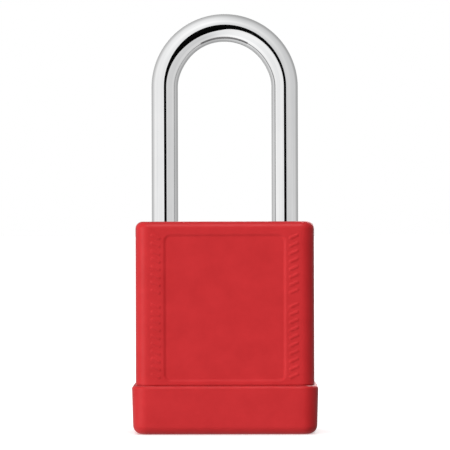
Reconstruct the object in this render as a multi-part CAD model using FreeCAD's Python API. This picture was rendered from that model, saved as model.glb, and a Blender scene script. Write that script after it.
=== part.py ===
import FreeCAD, Part

import math
import os

# Four-wheel resettable combination padlock with a plastic jacket and a long shackle.
# Millimetres. +Z is up along the shackle, +X is the lock's width, the front faces -Y.
# The origin is the centre of the bumper's bottom rim.

# ---- driving dimensions ----

# jacket: the plastic sleeve over the case
JACKET_WIDTH = 40.2
JACKET_DEPTH = 22.0
JACKET_Z0 = 9.2
JACKET_TOP = 47.8
JACKET_CORNER = 3.0
JACKET_TOP_ROUND = 1.6
JACKET_TOP_WALL = 1.5

# sunken label panel and grip strips on the front and the back
PANEL_WIDTH = 27.8
PANEL_Z0 = 11.75
PANEL_Z1 = 45.1
PANEL_CORNER = 1.8
PANEL_SINK = 0.2
PANEL_WALL_RUN = 0.8
GRIP_X = 15.5
GRIP_LENGTH = 2.2
GRIP_RIB = 0.6
GRIP_PROUD = 0.12
GRIP_PITCH = 1.75
GRIP_SLANT = 24.0
GRIP_GROUPS = ((13.2, 10), (32.1, 8))

# shadow groove in the jacket where the bumper ends
GROOVE_HEIGHT = 0.3
GROOVE_DEPTH = 0.3

# bumper: the plastic cap round the base
BUMPER_WIDTH_BOTTOM = 41.4
BUMPER_WIDTH_TOP = 42.0
BUMPER_DEPTH_BOTTOM = 23.2
BUMPER_DEPTH_TOP = 23.8
BUMPER_HEIGHT = 10.9
BUMPER_CORNER = 3.6
BUMPER_TOP_ROUND = 0.65
BUMPER_BOTTOM_ROUND = 2.0
BUMPER_FLOOR = 1.6
WINDOW_WIDTH = 30.4
WINDOW_DEPTH = 13.2
WINDOW_CORNER = 2.0
BEAD_WIDTH = 24.0
BEAD_HEIGHT = 0.8
BEAD_PROUD = 0.3
BEAD_Z = 6.6
RESET_HOLE_R = 1.1

# case: the die-cast body
CASE_WIDTH = 37.0
CASE_DEPTH = 19.0
CASE_CORNER = 1.0
CASE_TOP = JACKET_TOP - JACKET_TOP_WALL
CAVITY_X = 14.3
CAVITY_Y = 7.9
CAVITY_TOP = 34.1
END_SLOT_X = 16.5
END_SLOT_Y = 3.4
SHELL_GAP = 0.05

# base plate
PLATE_THICKNESS = 1.4
PLATE_WIDTH = 34.6
PLATE_DEPTH = 16.6
PLATE_CORNER = 0.6
SLOT_WIDTH = 4.0
SLOT_LENGTH = 12.4
INDEX_WIDTH = 0.45
INDEX_SINK = 0.25

# base rivets
RIVET_X = 15.6
RIVET_Y = 6.0
RIVET_R = 0.9
RIVET_HEAD_R = 1.5
RIVET_HEAD_HEIGHT = 0.6
RIVET_TOP = 9.0

# shackle
ROD_R = 3.0
LEG_X = 13.65
SHACKLE_TOP = 95.0
SHACKLE_LIFT = 9.5
TOE_TIP = 38.9
TOE_CHAMFER = 0.7
HEEL_BOTTOM = 20.7
HEEL_HEAD_R = 2.9
HEEL_HEAD_TOP = 22.1
HEEL_NECK_R = 1.8
HEEL_NECK_TOP = 24.4
BORE_R = 3.15
JACKET_HOLE_R = 3.3

# number wheels and hubs, on one spindle along X
AXIS_Z = 7.9
WHEEL_COUNT = 4
PITCH = 5.6
WHEEL_R = 7.6
WHEEL_WIDTH = 3.6
WHEEL_BORE_R = 6.0
WHEEL_EDGE_ROUND = 0.35
DIGITS = 10
SCALLOP_R = 0.9
SCALLOP_CENTRE_R = 8.1
CLUTCH_X0 = 1.4
CLUTCH_X1 = 2.4
CLUTCH_TIP_R = 4.85
CLUTCH_NOTCH = 1.9
HUB_TOOTH = 1.5
HUB_TOOTH_TIP_R = 5.85
HUB_JOURNAL_R = 4.75
HUB_JOURNAL_X0 = 0.2
HUB_TUBE_R = 2.3
HUB_END_FLOAT = 0.03
CUP_INNER_R = 3.75
CUP_X1 = 4.5
GATE_WIDTH = 2.2
SPINDLE_R = 1.2
SPINDLE_X0 = -18.2
SPINDLE_X1 = 16.6
SPINDLE_SHIFT = 1.2
RUNNING_GAP = 0.05

# locking carriage
CARRIAGE_Z0 = 22.2
CARRIAGE_Z1 = 24.2
CARRIAGE_HALF_DEPTH = 1.5
FORK_HALF_DEPTH = 3.0
FORK_X0 = -16.2
FORK_X1 = -10.9
FORK_SLOT = 3.9
ARM_X0 = 4.6
ARM_THICKNESS = 0.8
ARM_WIDTH = 1.8
FINGER_X0 = 3.7
FINGER_R0 = 2.6
FINGER_R1 = 3.55

# wheel frame, bent from sheet
SHEET = 0.8
FRAME_LEFT_X = -12.2
FRAME_RIGHT_X = 13.4
FRAME_FRONT_Y = -7.0
FRAME_BACK_Y = 7.8
FRAME_TOP = 20.9
FRAME_STRIP_Z0 = 15.9
FRAME_SIDE_TOP = 12.0
FRAME_TAB_X = 17.1
FRAME_TAB_Y0 = 4.4
FRAME_TAB_Y1 = 7.6
SEAT_X0 = -16.2
SEAT_HALF_DEPTH = 3.1

# springs, clips, washer and detent
SHACKLE_SPRING_R = 2.25
SHACKLE_SPRING_WIRE_R = 0.35
SHACKLE_SPRING_TURNS = 5
SPINDLE_SPRING_R = 1.85
SPINDLE_SPRING_WIRE_R = 0.17
SPINDLE_SPRING_TURNS = 4
CLIP_THICKNESS = 0.5
CLIP_OUTER_R = 2.4
CLIP_INNER_R = 1.0
CLIP_MOUTH = 1.7
CLIP_GROOVE_R = 0.95
CLIP_GAP = 0.05
WASHER_THICKNESS = 0.4
WASHER_OUTER_R = 2.3
LEAF_THICKNESS = 0.3
LEAF_HALF_WIDTH = 10.4
LEAF_TOP = 20.3
TONGUE_HALF_WIDTH = 1.4
NOSE_R = 0.7
NOSE_ANGLE = 36.0
NOSE_GAP = 0.05
DETENT_RIVET_X = 5.6
DETENT_RIVET_Z = 18.3
DETENT_RIVET_R = 0.6
DETENT_RIVET_HEAD_R = 1.1
DETENT_RIVET_HEAD = 0.4

# ---- derived places ----

ARCH_R = LEG_X
ARCH_Z = SHACKLE_TOP - ARCH_R - ROD_R
PLATE_TOP = BUMPER_FLOOR + PLATE_THICKNESS
PACK_X0 = -((WHEEL_COUNT - 1) * PITCH + WHEEL_WIDTH) / 2
WHEEL_X0 = [PACK_X0 + PITCH * k for k in range(WHEEL_COUNT)]
HUBS_X1 = PACK_X0 + PITCH * WHEEL_COUNT
LEFT_CLIP_X0 = PACK_X0 - CLIP_GAP - CLIP_THICKNESS
RIGHT_CLIP_X0 = HUBS_X1 + CLIP_GAP
WASHER_X0 = RIGHT_CLIP_X0 + CLIP_THICKNESS + CLIP_GAP
STEP_ANGLE = 360.0 / DIGITS
X_DIR = FreeCAD.Vector(1, 0, 0)
Y_DIR = FreeCAD.Vector(0, 1, 0)
Z_DIR = FreeCAD.Vector(0, 0, 1)
AXIS_POINT = FreeCAD.Vector(0, 0, AXIS_Z)


# ---- shape helpers ----

def vec(x, y, z):
    return FreeCAD.Vector(x, y, z)


def block(x0, x1, y0, y1, z0, z1):
    """Box between two corners."""
    return Part.makeBox(x1 - x0, y1 - y0, z1 - z0, vec(x0, y0, z0))


def rod_x(radius, x0, x1, y=0.0, z=AXIS_Z):
    return Part.makeCylinder(radius, x1 - x0, vec(x0, y, z), X_DIR)


def rod_y(radius, y0, y1, x, z):
    return Part.makeCylinder(radius, y1 - y0, vec(x, y0, z), Y_DIR)


def rod_z(radius, z0, z1, x, y=0.0):
    return Part.makeCylinder(radius, z1 - z0, vec(x, y, z0), Z_DIR)


def tube_x(outer, inner, x0, x1):
    return rod_x(outer, x0, x1).cut(rod_x(inner, x0, x1))


def outline(width, depth, corner, z):
    """Rounded rectangle in a level plane, centred on the Z axis."""
    half_w = width / 2
    half_d = depth / 2
    reach = corner * (1 - math.sqrt(0.5))
    edges = []
    sides = ((1, 1), (-1, 1), (-1, -1), (1, -1))
    for index, (sx, sy) in enumerate(sides):
        next_x, next_y = sides[(index + 1) % 4]
        on_x_side = vec(sx * half_w, sy * (half_d - corner), z)
        on_y_side = vec(sx * (half_w - corner), sy * half_d, z)
        middle = vec(sx * (half_w - reach), sy * (half_d - reach), z)
        first, last = (on_x_side, on_y_side) if sx == sy else (on_y_side, on_x_side)
        if sx == -next_x:
            after = vec(next_x * (half_w - corner), next_y * half_d, z)
        else:
            after = vec(next_x * half_w, next_y * (half_d - corner), z)
        edges.append(Part.Arc(first, middle, last).toShape())
        edges.append(Part.LineSegment(last, after).toShape())
    return Part.Wire(edges)


def rounded_block(width, depth, corner, z0, z1):
    face = Part.Face(outline(width, depth, corner, z0))
    return face.extrude(vec(0, 0, z1 - z0))


def tapered_block(bottom, top, corner, z0, z1):
    """Rounded block whose width and depth change evenly from bottom to top."""
    lower = outline(bottom[0], bottom[1], corner, z0)
    upper = outline(top[0], top[1], corner, z1)
    return Part.makeLoft([lower, upper], True, True)


def edges_at(shape, z):
    """The shape's edges that lie in the level plane at z."""
    def level(edge):
        return abs(edge.BoundBox.ZMin - z) < 1e-4 and abs(edge.BoundBox.ZMax - z) < 1e-4
    return [edge for edge in shape.Edges if level(edge)]


def on_both_faces(shape):
    """The shape and its copy turned half a turn about Z."""
    twin = shape.copy()
    twin.rotate(vec(0, 0, 0), Z_DIR, 180)
    return [shape, twin]


def on_four_corners(make):
    """make(x sign, y sign) for each corner of the base."""
    return [make(sx, sy) for sx in (-1, 1) for sy in (-1, 1)]


def about_axis(shape, degrees):
    turned = shape.copy()
    turned.rotate(AXIS_POINT, X_DIR, degrees)
    return turned


def coil(radius, wire_r, turns, length):
    """Open coil spring along +Z from the origin, wire surface to wire surface."""
    rise = length - 2 * wire_r
    path = Part.makeHelix(rise / turns, rise, radius)
    section = Part.Wire(Part.makeCircle(wire_r, vec(radius, 0, 0), Y_DIR))
    spring = Part.Wire(path.Edges).makePipeShell([section], True, True)
    spring.translate(vec(0, 0, wire_r))
    return spring


# ---- jacket and bumper ----

def panel_sink():
    """Cutter for the label panel: sloping walls, open to the front."""
    height = PANEL_Z1 - PANEL_Z0
    mouth = outline(PANEL_WIDTH, height, PANEL_CORNER, 0)
    floor = outline(
        PANEL_WIDTH - 2 * PANEL_WALL_RUN, height - 2 * PANEL_WALL_RUN,
        PANEL_CORNER - PANEL_WALL_RUN, -PANEL_SINK
    )
    outer = outline(PANEL_WIDTH, height, PANEL_CORNER, 1)
    cutter = Part.makeLoft([floor, mouth], True, True).fuse(Part.makeLoft([mouth, outer], True, True))
    cutter.rotate(vec(0, 0, 0), X_DIR, 90)
    cutter.translate(vec(0, -JACKET_DEPTH / 2, (PANEL_Z0 + PANEL_Z1) / 2))
    return cutter


def grip_ribs():
    """Short slanted ribs in two groups on each side of the label panel."""
    ribs = []
    y = -JACKET_DEPTH / 2
    for side in (-1, 1):
        for start, count in GRIP_GROUPS:
            for index in range(count):
                rib = block(
                    -GRIP_LENGTH / 2, GRIP_LENGTH / 2, y - GRIP_PROUD, y + GRIP_PROUD,
                    -GRIP_RIB / 2, GRIP_RIB / 2
                )
                rib.rotate(vec(0, 0, 0), Y_DIR, -side * GRIP_SLANT)
                rib.translate(vec(side * GRIP_X, 0, start + GRIP_PITCH * index))
                ribs.append(rib)
    return ribs


def outer_jacket():
    body = rounded_block(JACKET_WIDTH, JACKET_DEPTH, JACKET_CORNER, JACKET_Z0, JACKET_TOP)
    body = body.makeFillet(JACKET_TOP_ROUND, edges_at(body, JACKET_TOP))
    body = body.cut(on_both_faces(panel_sink()))
    for rib in grip_ribs():
        body = body.fuse(on_both_faces(rib))
    hollow = rounded_block(
        CASE_WIDTH + 2 * SHELL_GAP, CASE_DEPTH + 2 * SHELL_GAP, CASE_CORNER, JACKET_Z0, CASE_TOP
    )
    holes = [rod_z(JACKET_HOLE_R, CASE_TOP, JACKET_TOP, side * LEG_X) for side in (-1, 1)]
    band = rounded_block(
        BUMPER_WIDTH_TOP, BUMPER_DEPTH_TOP, BUMPER_CORNER, BUMPER_HEIGHT, BUMPER_HEIGHT + GROOVE_HEIGHT
    )
    core = rounded_block(
        JACKET_WIDTH - 2 * GROOVE_DEPTH, JACKET_DEPTH - 2 * GROOVE_DEPTH,
        JACKET_CORNER - GROOVE_DEPTH, BUMPER_HEIGHT, BUMPER_HEIGHT + GROOVE_HEIGHT
    )
    return body.cut([hollow, band.cut(core)] + holes)


def base_bumper():
    body = tapered_block(
        (BUMPER_WIDTH_BOTTOM, BUMPER_DEPTH_BOTTOM), (BUMPER_WIDTH_TOP, BUMPER_DEPTH_TOP),
        BUMPER_CORNER, 0, BUMPER_HEIGHT
    )
    body = body.makeFillet(BUMPER_TOP_ROUND, edges_at(body, BUMPER_HEIGHT))
    body = body.makeFillet(BUMPER_BOTTOM_ROUND, edges_at(body, 0))
    pocket = rounded_block(
        CASE_WIDTH + 2 * SHELL_GAP, CASE_DEPTH + 2 * SHELL_GAP, CASE_CORNER, BUMPER_FLOOR, JACKET_Z0
    )
    rim = rounded_block(
        JACKET_WIDTH + 2 * SHELL_GAP, JACKET_DEPTH + 2 * SHELL_GAP,
        JACKET_CORNER, JACKET_Z0, BUMPER_HEIGHT
    )
    window = rounded_block(WINDOW_WIDTH, WINDOW_DEPTH, WINDOW_CORNER, 0, BUMPER_FLOOR)
    reset_hole = rod_x(RESET_HOLE_R, -BUMPER_WIDTH_TOP / 2, -CASE_WIDTH / 2)
    wall_y = -(CASE_DEPTH / 2 + SHELL_GAP)
    bead = block(
        -BEAD_WIDTH / 2, BEAD_WIDTH / 2, wall_y - BEAD_PROUD, wall_y + BEAD_PROUD,
        BEAD_Z - BEAD_HEIGHT / 2, BEAD_Z + BEAD_HEIGHT / 2
    )
    return body.cut([pocket, rim, window, reset_hole]).fuse(on_both_faces(bead))


# ---- case, base plate and rivets ----

def lock_case():
    body = rounded_block(CASE_WIDTH, CASE_DEPTH, CASE_CORNER, BUMPER_FLOOR, CASE_TOP)
    plate_seat = rounded_block(
        PLATE_WIDTH + 2 * SHELL_GAP, PLATE_DEPTH + 2 * SHELL_GAP, PLATE_CORNER, BUMPER_FLOOR, PLATE_TOP
    )
    cavity = block(-CAVITY_X, CAVITY_X, -CAVITY_Y, CAVITY_Y, PLATE_TOP, CAVITY_TOP)
    heel_slot = block(-END_SLOT_X, -CAVITY_X, -END_SLOT_Y, END_SLOT_Y, PLATE_TOP, CAVITY_TOP)
    spring_slot = block(CAVITY_X, END_SLOT_X, -END_SLOT_Y, END_SLOT_Y, PLATE_TOP, FRAME_SIDE_TOP)
    heel_bore = rod_z(BORE_R, FRAME_SIDE_TOP, CASE_TOP, -LEG_X)
    toe_bore = rod_z(BORE_R, TOE_TIP - 2 * RUNNING_GAP, CASE_TOP, LEG_X)
    spindle_hole = rod_x(SPINDLE_R + RUNNING_GAP, -CASE_WIDTH / 2, -END_SLOT_X)
    blind_end = SPINDLE_X1 + SPINDLE_SHIFT + 3 * RUNNING_GAP
    spindle_socket = rod_x(SPINDLE_R + RUNNING_GAP, END_SLOT_X, blind_end)
    wall_y = -CASE_DEPTH / 2
    groove = block(
        -BEAD_WIDTH / 2 - SHELL_GAP, BEAD_WIDTH / 2 + SHELL_GAP, wall_y, wall_y + BEAD_PROUD,
        BEAD_Z - BEAD_HEIGHT / 2 - SHELL_GAP, BEAD_Z + BEAD_HEIGHT / 2 + SHELL_GAP
    )
    cuts = [plate_seat, cavity, heel_slot, spring_slot, heel_bore, toe_bore, spindle_hole, spindle_socket]
    cuts += on_both_faces(groove)
    cuts += on_four_corners(tab_pocket)
    cuts += on_four_corners(rivet_hole)
    return body.cut(cuts)


def tab_pocket(sx, sy):
    """Relief above the base plate for one tab of the wheel frame."""
    x0, x1 = sorted((sx * CAVITY_X, sx * (FRAME_TAB_X + SHELL_GAP)))
    y0, y1 = sorted((sy * (FRAME_TAB_Y0 - SHELL_GAP), sy * (FRAME_TAB_Y1 + SHELL_GAP)))
    return block(x0, x1, y0, y1, PLATE_TOP, PLATE_TOP + SHEET)


def rivet_hole(sx, sy):
    radius = RIVET_R + RUNNING_GAP / 2
    return rod_z(radius, BUMPER_FLOOR, RIVET_TOP + RUNNING_GAP, sx * RIVET_X, sy * RIVET_Y)


def rivet(sx, sy):
    """Countersunk rivet, head down, flush with the base plate."""
    shank = rod_z(RIVET_R, BUMPER_FLOOR, RIVET_TOP, sx * RIVET_X, sy * RIVET_Y)
    return shank.fuse(countersink(sx, sy))


def countersink(sx, sy):
    foot = vec(sx * RIVET_X, sy * RIVET_Y, BUMPER_FLOOR)
    return Part.makeCone(RIVET_HEAD_R, RIVET_R, RIVET_HEAD_HEIGHT, foot, Z_DIR)


def base_rivets():
    return Part.makeCompound(on_four_corners(rivet))


def base_plate():
    plate = rounded_block(PLATE_WIDTH, PLATE_DEPTH, PLATE_CORNER, BUMPER_FLOOR, PLATE_TOP)
    cuts = [
        block(
            x0 + WHEEL_WIDTH / 2 - SLOT_WIDTH / 2, x0 + WHEEL_WIDTH / 2 + SLOT_WIDTH / 2,
            -SLOT_LENGTH / 2, SLOT_LENGTH / 2, BUMPER_FLOOR, PLATE_TOP
        )
        for x0 in WHEEL_X0
    ]
    index_half = WINDOW_WIDTH / 2 - 1.5
    cuts.append(block(
        -index_half, index_half, -INDEX_WIDTH / 2, INDEX_WIDTH / 2, BUMPER_FLOOR, BUMPER_FLOOR + INDEX_SINK
    ))
    cuts += on_four_corners(rivet_hole)
    cuts += on_four_corners(countersink)
    return plate.cut(cuts)


# ---- shackle, carriage and shackle spring ----

def shackle():
    section = Part.Face(Part.Wire(Part.makeCircle(ROD_R, vec(LEG_X, 0, ARCH_Z), Z_DIR)))
    arch = section.revolve(vec(0, 0, ARCH_Z), vec(0, -1, 0), 180)
    toe = rod_z(ROD_R, TOE_TIP, ARCH_Z, LEG_X)
    toe = toe.makeChamfer(TOE_CHAMFER, edges_at(toe, TOE_TIP))
    heel = rod_z(ROD_R, HEEL_NECK_TOP, ARCH_Z, -LEG_X)
    neck = rod_z(HEEL_NECK_R, HEEL_HEAD_TOP, HEEL_NECK_TOP, -LEG_X)
    head = rod_z(HEEL_HEAD_R, HEEL_BOTTOM, HEEL_HEAD_TOP, -LEG_X)
    return arch.fuse([toe, heel, neck, head]).removeSplitter()


def locking_carriage():
    """Bar forked onto the heel's neck, with one hook reaching into each hub's cup."""
    bar_x1 = WHEEL_X0[-1] + ARM_X0 + ARM_THICKNESS
    bar = block(FORK_X0, bar_x1, -CARRIAGE_HALF_DEPTH, CARRIAGE_HALF_DEPTH, CARRIAGE_Z0, CARRIAGE_Z1)
    fork = block(FORK_X0, FORK_X1, -FORK_HALF_DEPTH, FORK_HALF_DEPTH, CARRIAGE_Z0, CARRIAGE_Z1)
    hooks = []
    for x0 in WHEEL_X0:
        arm = block(
            x0 + ARM_X0, x0 + ARM_X0 + ARM_THICKNESS, -ARM_WIDTH / 2, ARM_WIDTH / 2,
            AXIS_Z + FINGER_R0, CARRIAGE_Z0
        )
        finger = block(
            x0 + FINGER_X0, x0 + ARM_X0, -ARM_WIDTH / 2, ARM_WIDTH / 2,
            AXIS_Z + FINGER_R0, AXIS_Z + FINGER_R1
        )
        hooks += [arm, finger]
    slot = block(FORK_X0, -LEG_X, -FORK_SLOT / 2, FORK_SLOT / 2, CARRIAGE_Z0, CARRIAGE_Z1)
    slot_end = rod_z(FORK_SLOT / 2, CARRIAGE_Z0, CARRIAGE_Z1, -LEG_X)
    return bar.fuse([fork] + hooks).cut([slot, slot_end]).removeSplitter()


def shackle_spring():
    spring = coil(
        SHACKLE_SPRING_R, SHACKLE_SPRING_WIRE_R, SHACKLE_SPRING_TURNS, HEEL_BOTTOM - FRAME_SIDE_TOP
    )
    spring.translate(vec(-LEG_X, 0, FRAME_SIDE_TOP))
    return spring


# ---- wheel frame and detent ----

def wheel_frame():
    """One bent sheet: two sides joined by a strip at the back, tabs under the case, spring seat."""
    left_x1 = FRAME_LEFT_X + SHEET
    right_x1 = FRAME_RIGHT_X + SHEET
    strip = block(FRAME_LEFT_X, right_x1, FRAME_BACK_Y - SHEET, FRAME_BACK_Y, FRAME_STRIP_Z0, FRAME_TOP)
    pieces = []
    for x0, x1 in ((FRAME_LEFT_X, left_x1), (FRAME_RIGHT_X, right_x1)):
        pieces.append(block(x0, x1, FRAME_FRONT_Y, FRAME_BACK_Y, PLATE_TOP, FRAME_SIDE_TOP))
        pieces.append(block(x0, x1, FRAME_TAB_Y0, FRAME_BACK_Y, FRAME_SIDE_TOP, FRAME_TOP))
    pieces.append(
        block(SEAT_X0, FRAME_LEFT_X, -SEAT_HALF_DEPTH, SEAT_HALF_DEPTH, FRAME_SIDE_TOP - SHEET, FRAME_SIDE_TOP)
    )
    for sx, inner in ((-1, FRAME_LEFT_X), (1, right_x1)):
        for sy in (-1, 1):
            x0, x1 = sorted((inner, sx * FRAME_TAB_X))
            front = min(FRAME_TAB_Y1, -FRAME_FRONT_Y) if sy < 0 else FRAME_TAB_Y1
            y0, y1 = sorted((sy * FRAME_TAB_Y0, sy * front))
            pieces.append(block(x0, x1, y0, y1, PLATE_TOP, PLATE_TOP + SHEET))
    cuts = on_four_corners(rivet_hole)
    cuts.append(rod_x(SPINDLE_R + RUNNING_GAP, FRAME_LEFT_X, left_x1))
    cuts.append(rod_x(WASHER_OUTER_R + 0.4, FRAME_RIGHT_X, right_x1))
    cuts += [
        rod_y(DETENT_RIVET_R + RUNNING_GAP / 2, FRAME_BACK_Y - SHEET, FRAME_BACK_Y, side * DETENT_RIVET_X,
              DETENT_RIVET_Z)
        for side in (-1, 1)
    ]
    return strip.fuse(pieces).cut(cuts).removeSplitter()


def detent_spring():
    """Leaf on the frame's strip, with a rolled tongue resting in a scallop of each wheel."""
    y1 = FRAME_BACK_Y - SHEET
    y0 = y1 - LEAF_THICKNESS
    leaf = block(-LEAF_HALF_WIDTH, LEAF_HALF_WIDTH, y0, y1, FRAME_STRIP_Z0, LEAF_TOP)
    nose_distance = SCALLOP_CENTRE_R - SCALLOP_R + NOSE_GAP + NOSE_R
    nose_y = nose_distance * math.cos(math.radians(NOSE_ANGLE))
    nose_z = AXIS_Z + nose_distance * math.sin(math.radians(NOSE_ANGLE))
    tongues = []
    for x0 in WHEEL_X0:
        start = x0 + WHEEL_WIDTH / 2 - TONGUE_HALF_WIDTH
        end = start + 2 * TONGUE_HALF_WIDTH
        roll = rod_x(NOSE_R, start, end, nose_y, nose_z)
        eye = rod_x(NOSE_R - LEAF_THICKNESS, start, end, nose_y, nose_z)
        strip = block(start, end, y0, y1, nose_z, FRAME_STRIP_Z0)
        tongues.append(roll.fuse(strip).cut(eye))
    holes = [
        rod_y(DETENT_RIVET_R + RUNNING_GAP / 2, y0, y1, side * DETENT_RIVET_X, DETENT_RIVET_Z)
        for side in (-1, 1)
    ]
    return leaf.fuse(tongues).cut(holes).removeSplitter()


def detent_rivets():
    head_y = FRAME_BACK_Y - SHEET - LEAF_THICKNESS
    rivets = []
    for side in (-1, 1):
        x = side * DETENT_RIVET_X
        shank = rod_y(DETENT_RIVET_R, head_y, FRAME_BACK_Y, x, DETENT_RIVET_Z)
        head = rod_y(DETENT_RIVET_HEAD_R, head_y - DETENT_RIVET_HEAD, head_y, x, DETENT_RIVET_Z)
        rivets.append(shank.fuse(head))
    return Part.makeCompound(rivets)


# ---- wheels, hubs and spindle ----

def toothed_ring(count, width, r0, r1, x0, x1):
    """Radial blocks spaced evenly about the spindle, the first one pointing up."""
    tooth = block(x0, x1, -width / 2, width / 2, AXIS_Z + r0, AXIS_Z + r1)
    return [about_axis(tooth, 360.0 / count * index) for index in range(count)]


def number_wheel(x0):
    x1 = x0 + WHEEL_WIDTH
    rim = rod_x(WHEEL_R, x0, x1)
    rims = [edge for edge in rim.Edges if abs(edge.BoundBox.XMax - edge.BoundBox.XMin) < 1e-4]
    rim = rim.makeFillet(WHEEL_EDGE_ROUND, rims)
    scallop = rod_x(SCALLOP_R, x0, x1, 0, AXIS_Z + SCALLOP_CENTRE_R)
    scallops = [about_axis(scallop, STEP_ANGLE * (index + 0.5)) for index in range(DIGITS)]
    rim = rim.cut([rod_x(WHEEL_BORE_R, x0, x1)] + scallops)
    web = tube_x(WHEEL_BORE_R, CLUTCH_TIP_R, x0 + CLUTCH_X0, x0 + CLUTCH_X1)
    notches = toothed_ring(
        DIGITS, CLUTCH_NOTCH, CLUTCH_TIP_R - 0.3, WHEEL_BORE_R, x0 + CLUTCH_X0, x0 + CLUTCH_X1
    )
    return rim.fuse(web).cut(notches).removeSplitter()


def hub(x0):
    """Clutch hub: tube on the spindle, journal, teeth, and a cup with one gate at the top."""
    tube = rod_x(HUB_TUBE_R, x0 + HUB_END_FLOAT, x0 + PITCH - HUB_END_FLOAT)
    journal = rod_x(HUB_JOURNAL_R, x0 + HUB_JOURNAL_X0, x0 + CLUTCH_X1)
    cup = tube_x(HUB_JOURNAL_R, CUP_INNER_R, x0 + CLUTCH_X1, x0 + CUP_X1)
    teeth = toothed_ring(
        DIGITS, HUB_TOOTH, HUB_JOURNAL_R - 0.3, HUB_TOOTH_TIP_R, x0 + CLUTCH_X0, x0 + CLUTCH_X1
    )
    gate = block(
        x0 + CLUTCH_X1, x0 + CUP_X1, -GATE_WIDTH / 2, GATE_WIDTH / 2, AXIS_Z + FINGER_R0, AXIS_Z + WHEEL_R
    )
    bore = rod_x(SPINDLE_R + RUNNING_GAP, x0, x0 + PITCH)
    return tube.fuse([journal, cup] + teeth).cut([gate, bore]).removeSplitter()


def spindle():
    pin = rod_x(SPINDLE_R, SPINDLE_X0, SPINDLE_X1)
    pin = pin.makeChamfer(0.3, [edge for edge in pin.Edges if abs(edge.BoundBox.XLength) < 1e-4])
    half_gap = CLIP_GAP / 2
    grooves = [
        tube_x(SPINDLE_R + half_gap, CLIP_GROOVE_R, x0 - half_gap, x0 + CLIP_THICKNESS + half_gap)
        for x0 in (LEFT_CLIP_X0, RIGHT_CLIP_X0)
    ]
    return pin.cut(grooves)


def retaining_clips():
    """Two E-clips, open towards the base."""
    clips = []
    for x0 in (LEFT_CLIP_X0, RIGHT_CLIP_X0):
        ring = tube_x(CLIP_OUTER_R, CLIP_INNER_R, x0, x0 + CLIP_THICKNESS)
        mouth = block(x0, x0 + CLIP_THICKNESS, -CLIP_MOUTH / 2, CLIP_MOUTH / 2, AXIS_Z - WHEEL_R, AXIS_Z)
        clips.append(ring.cut(mouth))
    return Part.makeCompound(clips)


def thrust_washer():
    return tube_x(WASHER_OUTER_R, SPINDLE_R + RUNNING_GAP, WASHER_X0, WASHER_X0 + WASHER_THICKNESS)


def spindle_spring():
    start = WASHER_X0 + WASHER_THICKNESS
    spring = coil(SPINDLE_SPRING_R, SPINDLE_SPRING_WIRE_R, SPINDLE_SPRING_TURNS, END_SLOT_X - start)
    spring.rotate(vec(0, 0, 0), Y_DIR, 90)
    spring.translate(vec(start, 0, AXIS_Z))
    return spring


# ---- the assembly ----

def assembly():
    nodes = {
        "outer_jacket": outer_jacket(),
        "base_bumper": base_bumper(),
        "lock_case": lock_case(),
        "base_plate": base_plate(),
        "base_rivets": base_rivets(),
        "shackle": shackle(),
        "locking_carriage": locking_carriage(),
        "shackle_spring": shackle_spring(),
        "wheel_frame": wheel_frame(),
        "detent_spring": detent_spring(),
        "detent_rivets": detent_rivets(),
        "spindle": spindle(),
        "retaining_clips": retaining_clips(),
        "thrust_washer": thrust_washer(),
        "spindle_spring": spindle_spring(),
    }
    for index, x0 in enumerate(WHEEL_X0):
        nodes[f"number_wheel_{index + 1}"] = number_wheel(x0)
        nodes[f"hub_{index + 1}"] = hub(x0)
    return nodes


def main():
    os.makedirs("parts", exist_ok=True)
    for name, shape in assembly().items():
        shape.exportStep(f"parts/{name}.step")
        print(name, len(shape.Solids), shape.isValid(), round(shape.Volume, 2))


main()
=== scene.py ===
import math

import bmesh
import bpy
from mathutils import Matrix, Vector


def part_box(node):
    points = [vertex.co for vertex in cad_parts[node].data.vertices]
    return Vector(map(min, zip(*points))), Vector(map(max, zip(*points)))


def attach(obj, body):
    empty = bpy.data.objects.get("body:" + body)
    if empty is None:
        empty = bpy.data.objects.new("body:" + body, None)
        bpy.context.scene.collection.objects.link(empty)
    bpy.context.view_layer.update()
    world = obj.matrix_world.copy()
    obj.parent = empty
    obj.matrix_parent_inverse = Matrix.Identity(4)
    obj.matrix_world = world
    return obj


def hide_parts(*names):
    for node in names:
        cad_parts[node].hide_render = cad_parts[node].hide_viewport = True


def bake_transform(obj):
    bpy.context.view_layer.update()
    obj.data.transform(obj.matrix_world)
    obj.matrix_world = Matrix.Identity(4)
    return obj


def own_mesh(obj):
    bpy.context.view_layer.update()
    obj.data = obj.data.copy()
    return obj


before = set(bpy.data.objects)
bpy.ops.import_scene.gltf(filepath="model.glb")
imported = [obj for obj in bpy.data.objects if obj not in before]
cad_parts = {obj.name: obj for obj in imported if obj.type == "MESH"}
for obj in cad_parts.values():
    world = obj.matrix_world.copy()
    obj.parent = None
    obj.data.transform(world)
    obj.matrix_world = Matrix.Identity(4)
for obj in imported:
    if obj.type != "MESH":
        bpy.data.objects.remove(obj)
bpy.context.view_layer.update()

# Looks of the four-wheel combination padlock. Metres, with +Z up along the shackle and the
# front facing -Y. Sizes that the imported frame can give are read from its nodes.

MM = 0.001

# ---- sizes from the frame ----

JACKET_LOW, JACKET_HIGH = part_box("outer_jacket")
BUMPER_LOW, BUMPER_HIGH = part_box("base_bumper")
CASE_LOW, CASE_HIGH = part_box("lock_case")
PLATE_LOW, PLATE_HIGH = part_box("base_plate")
SHACKLE_LOW, SHACKLE_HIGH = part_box("shackle")
SPRING_LOW, SPRING_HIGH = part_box("shackle_spring")
RETURN_LOW, RETURN_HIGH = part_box("spindle_spring")

# ---- jacket ----

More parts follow.
